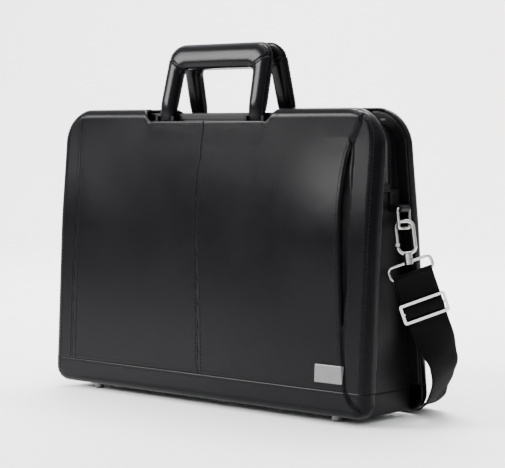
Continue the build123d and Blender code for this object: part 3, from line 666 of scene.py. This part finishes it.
for off, place in ((-3.8, "outer"), (3.8, "inner")):
    stitches(f"stitch_front_seam_{place}",
             on_face(-1, [(-SEAM_X + off, 34), (-SEAM_X + off, 278)]), FRONT_IN, front_trees)
edge_z = np.linspace(37, 283, 110)
edge_row = np.stack([pocket_edge_x(edge_z) - 4.6, edge_z], 1)


def on_settled_front(points):
    """For rows given where the leather already sits, only their depth is settled."""
    points = as_is(points)
    moved = settle(points)
    moved[:, 0] = points[:, 0]
    return moved


stitches("stitch_pocket_edge", on_face(-1, edge_row), FRONT_IN, front_trees, shape=on_settled_front)
NOTCH_EDGE = [(-178, 288.6), (-94, 288.6), (-80, 275.4), (80, 275.4), (94, 288.6), (178, 288.6)]
stitches("stitch_front_notch", on_face(-1, rounded(NOTCH_EDGE, 4)), FRONT_IN, front_trees)
stitches("stitch_rear_notch", on_face(1, rounded(NOTCH_EDGE, 4)), REAR_IN, rear_trees)
stitches("stitch_rear_base", on_face(1, [(-206, 28.6), (206, 28.6)]), REAR_IN, rear_trees)
stitches("stitch_front_foot", on_face(-1, [(-198, 13), (198, 13)]), FRONT_IN, front_trees)
stitches("stitch_rear_foot", on_face(1, [(-198, 13), (198, 13)]), REAR_IN, rear_trees)
pocket_tree = tree_of(rear_pocket)
POCKET_HALF, POCKET_FOOT = 170, 36
for inset in (3.0, 6.6):
    x, z = POCKET_HALF - inset, POCKET_FOOT + inset
    row = [(-x, 232), (-x, z), (x, z), (x, 232)]
    stitches(f"stitch_rear_pocket_{int(inset)}", on_face(1, row), REAR_IN, pocket_tree)
for z in (225.5, 232.0):
    stitches(f"stitch_rear_pocket_hem_{int(z)}", on_face(1, [(-166, z), (166, z)]), REAR_IN, pocket_tree)


# ---------------------------------------------------------------- gussets: seams and the zip's ends
def over_corner(lift, low, start=161.5):
    """The gusset's middle line in x and z, from its top end over the corner and down to low."""
    reach = CORNER_R - RIM_DEPTH + lift
    arc = [(CORNER_X + reach * math.sin(a), CORNER_Z + reach * math.cos(a))
           for a in np.linspace(0, math.pi / 2, 22)]
    return spaced([(start, CORNER_Z + reach), *arc, (CORNER_X + reach, low)], 1.5)


def on_gusset(hand, line, off=0.0):
    """A line of (x, z) set on one gusset, beside its middle."""
    return np.stack([hand * line[:, 0], middle_y(line[:, 1]) + off, line[:, 1]], 1)


LEAF_OFF, LEAF_WIDE = 10.2, 8.6
for hand, end, gusset in ((-1, "left", gusset_left), (1, "right", gusset_right)):
    gusset_tree = tree_of(gusset)
    for side, name in ((-1, "front"), (1, "rear")):
        line = over_corner(0, 34)
        row = np.stack([hand * line[:, 0], face_y(side, line[:, 1], RIM_DEPTH + 3.4), line[:, 1]], 1)
        out = np.stack([np.gradient(line[:, 1]), np.zeros(len(line)), -np.gradient(line[:, 0])], 1)
        inward = np.stack([out[:, 0] * hand, out[:, 1], out[:, 2]], 1)
        row_spaced = spaced(settle(row), 3.9)
        index = np.linspace(0, len(inward) - 1, len(row_spaced)).astype(int)
        stitches(f"stitch_gusset_{end}_{name}", row_spaced, inward[index], gusset_tree, shape=as_is)
        strip_line = over_corner(0.5, 216.5)
        strip = on_gusset(hand, strip_line, side * LEAF_OFF)
        leaf = swept(f"zip_end_leaf_{end}_{name}", strip, (0, 1, 0), band_section(LEAF_WIDE, 1.7, 0.5),
                     LEATHER)
        leaf_tree = tree_of(leaf)
        leaf_row = spaced(strip + [0, -side * 2.6, 0], 3.9)
        index = np.linspace(0, len(inward) * len(strip_line) / len(line) - 1, len(leaf_row)).astype(int)
        stitches(f"stitch_zip_end_{end}_{name}", leaf_row, inward[index], leaf_tree, shape=as_is)
    tape_path = on_gusset(hand, over_corner(-1.3, 219))
    swept(f"zip_end_tape_{end}", tape_path, (0, 1, 0), band_section(12, 0.7), TAPE)
    patch = on_gusset(hand, spaced([(GUSSET_X + 1.2, 222.5), (GUSSET_X + 1.2, 215)], 1.0))
    swept(f"zip_end_patch_{end}", patch, (0, 1, 0), band_section(13, 1.7, 0.4), LEATHER_DARK)


def tooth(middle, along, across, up, length, width, height):
    """One zip tooth: a block with its top narrowed."""
    points = []
    for top in (0, 1):
        trim = 0.72 if top else 1.0
        for a, b in ((-1, -1), (1, -1), (1, 1), (-1, 1)):
            points.append(middle + along * a * length / 2 * trim + across * b * width / 2 * trim
                          + up * top * height)
    return points


TOOTH_LENGTH, TOOTH_WIDTH, TOOTH_HEIGHT = 0.95, 2.5, 1.7
TOOTH_FACES = ((3, 2, 1, 0), (4, 5, 6, 7), (0, 1, 5, 4), (1, 2, 6, 5), (2, 3, 7, 6), (3, 0, 4, 7))


def teeth(name, path, ups, side, body, stands_for=()):
    """Teeth of one side of the zip, set along a path at the zip's middle line."""
    path, points, faces = np.asarray(path, float), [], []
    run = np.gradient(path, axis=0)
    across = np.array([0, 1.0, 0])
    for p, r, up in zip(path, run, ups):
        first = len(points)
        points.extend(tooth(p + across * side * TOOTH_WIDTH / 2, r / np.linalg.norm(r), across,
                            np.array(up), TOOTH_LENGTH, TOOTH_WIDTH, TOOTH_HEIGHT))
        faces.extend(tuple(first + k for k in face) for face in TOOTH_FACES)
    new_piece(name, np.array(points), faces, ZIP_METAL, body, stands_for, smooth=False)


PITCH = 2.3
ZIP_Z, TEETH_Z = 277.75, 275.1
ZIP_Y = middle_y(ZIP_Z)
for side, name in ((-1, "front"), (1, "rear")):
    xs = np.arange(-158.5 + (PITCH / 2 if side > 0 else 0), 159, PITCH)
    line = np.stack([xs, np.full(len(xs), ZIP_Y), np.full(len(xs), TEETH_Z)], 1)
    teeth(f"zip_teeth_{name}", line, np.broadcast_to((0, 0, 1), line.shape), side, f"{name}_zip_strip",
          [f"{name}_zip_teeth"])
    for hand, end in ((-1, "left"), (1, "right")):
        dense = spaced(over_corner(-1.2, 221.5), PITCH / 2)[(side > 0)::2]
        line = on_gusset(hand, dense)
        slope = np.gradient(dense, axis=0)
        ups = np.stack([-hand * slope[:, 1], np.zeros(len(dense)), slope[:, 0]], 1)
        ups /= np.linalg.norm(ups, axis=1)[:, None]
        teeth(f"zip_end_teeth_{end}_{name}", line, ups, side, "root")
    strip = soft_form(f"zip_leather_{name}", [f"{name}_zip_strip"], body=f"{name}_zip_strip", voxel=0.9,
                      shape=as_is, grow=(0, 0, 0))
    strip_tree = tree_of(strip)
    for off in (8.4, 13.4):
        row = [(-158, ZIP_Y + side * off, 280), (158, ZIP_Y + side * off, 280)]
        stitches(f"stitch_zip_{name}_{int(off)}", row, (0, 0, -1), strip_tree, f"{name}_zip_strip",
                 shape=as_is)

# ---------------------------------------------------------------- handles
LEAN = math.radians(13.5)
PIVOT_IN, PIVOT_Z = 24.6, 284.0
EYE_R = 3.1  # half thickness of the handle's feet, round the pins


def handle_frame(side):
    """A handle's pivot, its upward direction, and the direction out of its plane."""
    origin = np.array([0, middle_y(TOP_Z) + side * PIVOT_IN, PIVOT_Z])
    up = np.array([0, -side * math.sin(LEAN), math.cos(LEAN)])
    return origin, up, np.cross([1.0, 0, 0], up)


def bow_outline(foot, half_top, top, radius):
    """One edge of the handle's bow in its own plane, from foot to foot, with matching point counts."""
    path = rounded([(-foot, -EYE_R), (-half_top, top), (half_top, top), (foot, -EYE_R)], radius)
    # the straight and rounded parts of the path, and how many points each gets
    parts = ((path[:2], 52), (path[1:13], 22), (path[12:14], 64), (path[13:25], 22), (path[24:], 52))
    rows = []
    for part, count in parts:
        run = np.concatenate([[0], np.cumsum(np.linalg.norm(np.diff(part, axis=0), axis=1))])
        at = np.linspace(0, run[-1], int(count / FINE), endpoint=part is parts[-1][0])
        rows.append(np.stack([np.interp(at, run, part[:, i]) for i in range(2)], 1))
    return np.vstack(rows)


def tube_section(turn, full=2.5):
    """A rounded box of unit half sizes at the given turns: along the bow's plane, and out of it."""
    c, s = np.cos(turn), np.sin(turn)
    return np.sign(c) * np.abs(c) ** (2 / full), np.sign(s) * np.abs(s) ** (2 / full)


def handle_point(side, flat, off):
    """From the bow's own plane and the height off it to the body's frame."""
    origin, up, out = handle_frame(side)
    return origin + flat[:, :1] * [1.0, 0, 0] + flat[:, 1:] * up + np.asarray(off, float)[:, None] * out


# The mitre seam at each of the bow's corners: a point on it, and its direction
MITRE_AT, MITRE_RUN = (49.0, 51.5), (0.85, 0.53)


def mitre_off(flat):
    """Distance from the mitre seam at the near corner."""
    across, along = np.abs(flat[:, 0]) - MITRE_AT[0], flat[:, 1] - MITRE_AT[1]
    return np.abs(across * MITRE_RUN[1] - along * MITRE_RUN[0])


outer_edge, inner_edge = bow_outline(69.1, 66.6, 75.0, 17), bow_outline(50.9, 48.4, 50.6, 8.5)
bow_middle, bow_reach = (outer_edge + inner_edge) / 2, (outer_edge - inner_edge) / 2
bow_rise = bow_middle[:, 1]
# half thickness: round at the feet, growing up the legs, and fullest at the middle of the grip
bow_half = np.where(bow_rise > 0, EYE_R + 4.1 * np.sin(np.clip(bow_rise / 18, 0, 1) * math.pi / 2),
                    EYE_R * np.sqrt(1 - 0.1 * np.clip(bow_rise, -EYE_R, 0) ** 2 * 0.62))
bow_half = bow_half + 0.7 * ease((bow_rise - 50) / 12) * np.exp(-((bow_middle[:, 0] / 34) ** 2))
TURNS = np.linspace(0, 2 * math.pi, 40, endpoint=False)
for side, name in ((-1, "front"), (1, "rear")):
    out = handle_frame(side)[2]
    rings = []
    for turn in TURNS:
        along, off = tube_section(turn)
        flat = bow_middle + bow_reach * along
        at_corner = (flat[:, 1] > 38) * (np.abs(flat[:, 0]) > 40)
        groove = 1 - 0.13 * np.exp(-((mitre_off(flat) / 0.8) ** 2)) * at_corner
        flat = bow_middle + bow_reach * (along * groove)[:, None]
        rings.append(handle_point(side, flat, bow_half * off * groove))
    rings = np.stack(rings, 1)
    count, turns = rings.shape[:2]
    faces = [(i * turns + k, i * turns + (k + 1) % turns,
              (i + 1) * turns + (k + 1) % turns, (i + 1) * turns + k)
             for i in range(count - 1) for k in range(turns)]
    faces += [tuple(reversed(range(turns))), tuple((count - 1) * turns + k for k in range(turns))]
    handle = new_piece(f"{name}_handle_leather", rings.reshape(-1, 3), faces, LEATHER, f"{name}_handle",
                       stands_for=[f"{name}_handle"])
    handle_tree = tree_of(handle)
    keep = bow_rise > 4
    welt_line = (outer_edge + (outer_edge - inner_edge) * 0.012)[keep]
    welt = handle_point(side, welt_line, np.zeros(keep.sum()))
    swept(f"{name}_handle_welt", welt, out, band_section(1.9, 2.2), LEATHER, f"{name}_handle")
    centres = handle_point(side, bow_middle, np.zeros(len(bow_middle)))

    def to_middle(path, centres=centres):
        """From the path to the nearest points of the bow's middle line."""
        nearest = np.argmin(np.linalg.norm(path[:, None] - centres[None], axis=2), axis=1)
        return centres[nearest] - path

    for face, place in ((1, "out"), (-1, "in")):
        along, off = tube_section(np.array(0.40))
        flat = (bow_middle + bow_reach * along * 1.04)[keep]
        row = handle_point(side, flat, face * off * bow_half[keep] * 1.1)
        stitches(f"stitch_{name}_handle_{place}", row, to_middle, handle_tree, f"{name}_handle",
                 shape=as_is, step=3.4, length=2.6)
        for hand, end in ((-1, "left"), (1, "right")):
            for gap, row_name in ((-2.0, "a"), (2.0, "b")):
                aside, up = gap * MITRE_RUN[1], gap * MITRE_RUN[0]
                seam = np.array([(hand * (51.5 - aside), 53.1 + up), (hand * (64 - aside), 60.9 + up)])
                stitches(f"stitch_{name}_mitre_{place}_{end}_{row_name}",
                         handle_point(side, seam, np.array([9.0, 9.0]) * face), -out * face, handle_tree,
                         f"{name}_handle", shape=as_is, step=2.6, length=2.0, radius=0.3)

# ---------------------------------------------------------------- ring tabs
TAB_Y = -12.6
for hand, end in ((-1, "left"), (1, "right")):
    tab = soft_form(f"ring_tab_leather_{end}", [f"ring_tab_{end}"], LEATHER_DARK, voxel=0.7, shape=as_is,
                    grow=(0, 0, 0))
    tab_tree = tree_of(tab)
    for off, name in ((-4.7, "front"), (4.7, "rear")):
        row = [(hand * 202, TAB_Y + off, 201), (hand * 202, TAB_Y + off, 216)]
        stitches(f"stitch_ring_tab_{end}_{name}", row, (-hand, 0, 0), tab_tree, shape=as_is, step=3.2,
                 length=2.5)

# ---------------------------------------------------------------- inside
divider = soft_form("laptop_divider_pad", ["laptop_divider"], LINING, voxel=1.6,
                    relax=6, shape=as_is, grow=(0, 0, 0))
soft_form("laptop_strap_webbing", ["laptop_strap"], TAPE, voxel=0.8, shape=as_is,
          grow=(0, 0, 0))

# ---------------------------------------------------------------- name plate
soft_form("plate_metal", ["name_plate"], PLATE, voxel=0.45, relax=2, grow=(0, 0, 0))

# ---------------------------------------------------------------- shoulder strap
# The right drop's own directions, and the middle of its loop's bar, as in the CAD source
STRAP_WIDE = np.array([0.69913, 0.62921, 0.33958])
STRAP_DOWN = np.array([0.140953, 0.344324, -0.92821])
STRAP_OUT = np.array([0.700967, -0.6968, -0.152037])
LOOP_BAR = np.array([215.576, -7.3857, 138.622])
STRAP_W, STRAP_T = 38, 1.5
FLOOR_Y, FLOOR_Z = 52.2, 2.2


def smooth_run(stations, step=2.0):
    """Centres and width directions along a smooth line through the stations."""
    centres = np.array([c for c, _ in stations], float)
    wides = np.array([w for _, w in stations], float)
    ends = np.vstack([2 * centres[0] - centres[1], centres, 2 * centres[-1] - centres[-2]])
    path, wide = [], []
    for i in range(len(centres) - 1):
        p0, p1, p2, p3 = ends[i:i + 4]
        n = max(2, int(np.linalg.norm(p2 - p1) / step))
        for t in np.linspace(0, 1, n, endpoint=i == len(centres) - 2):
            path.append(0.5 * (2 * p1 + (p2 - p0) * t + (2 * p0 - 5 * p1 + 4 * p2 - p3) * t ** 2
                               + (3 * p1 - p0 - 3 * p2 + p3) * t ** 3))
            e = t * t * (3 - 2 * t)
            w = wides[i] * (1 - e) + wides[i + 1] * e
            wide.append(w / np.linalg.norm(w))
    return np.array(path), np.array(wide)


def strap_stations():
    """From the slider up the front of the drop, over the loop's bar, and down to the floor behind."""
    stations = []
    for s in (34, 24, 14, 6):
        stations.append((LOOP_BAR + STRAP_DOWN * s + STRAP_OUT * 1.0, STRAP_WIDE))
    for turn in np.linspace(0, math.pi, 9):
        off_bar = STRAP_OUT * 2.3 * math.cos(turn) - STRAP_DOWN * 2.3 * math.sin(turn)
        stations.append((LOOP_BAR + off_bar, STRAP_WIDE))
    for s in (6, 14, 24, 40, 58):
        stations.append((LOOP_BAR + STRAP_DOWN * s - STRAP_OUT * 0.8, STRAP_WIDE))
    for centre, wide in (((229, 24.7, 55), (0.16, 0.95, 0.20)), ((223, 31.7, 36), (-0.12, 0.98, 0.08)),
                         ((210, 38.9, 19), (-0.3, 0.95, 0)), ((195, 47.7, 9), (-0.28, 0.96, 0)),
                         ((178, 50.6, 4.2), (-0.15, 0.99, 0)), ((150, FLOOR_Y, FLOOR_Z), (0, 1, 0))):
        stations.append((np.array(centre), np.array(wide)))
    return stations


for hand, end in ((1, "right"), (-1, "left")):
    path, wide = smooth_run(strap_stations())
    path[:, 0] *= hand
    wide[:, 0] *= hand
    section = band_section(STRAP_W, STRAP_T, 0.0, 9)
    if hand < 0:
        section = [(-a, b) for a, b in section][::-1]
    strap = swept(f"strap_webbing_{end}", path, wide, section, WEBBING, None,
                  [f"strap_drop_{end}"])
    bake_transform(strap)
middle = np.stack([np.linspace(151, -151, 120), np.full(120, FLOOR_Y), np.full(120, FLOOR_Z)], 1)
middle[:, 2] += 0.6 * np.sin(np.linspace(0, 9, 120)) ** 2
swept("strap_webbing_floor", middle, (0, 1, 0), band_section(STRAP_W, STRAP_T, 0.0, 9), WEBBING, "root",
      ["strap_run"])

wrap_middle = LOOP_BAR + STRAP_DOWN * (2.6 + 31) + STRAP_OUT * 3.5
wrap_ring = []
for turn in np.linspace(0, 2 * math.pi, 24, endpoint=False):
    bulge = 1 if abs(math.cos(turn)) < 0.9 else 1.15
    wrap_ring.append((4.4 * math.cos(turn) * bulge, 1.6 * math.sin(turn)))
wrap_path = np.stack([wrap_middle + STRAP_WIDE * t for t in np.linspace(-18.8, 18.8, 20)])
swept("strap_wrap_webbing", wrap_path, STRAP_DOWN, wrap_ring, WEBBING, "strap_slider",
      ["strap_wrap"])
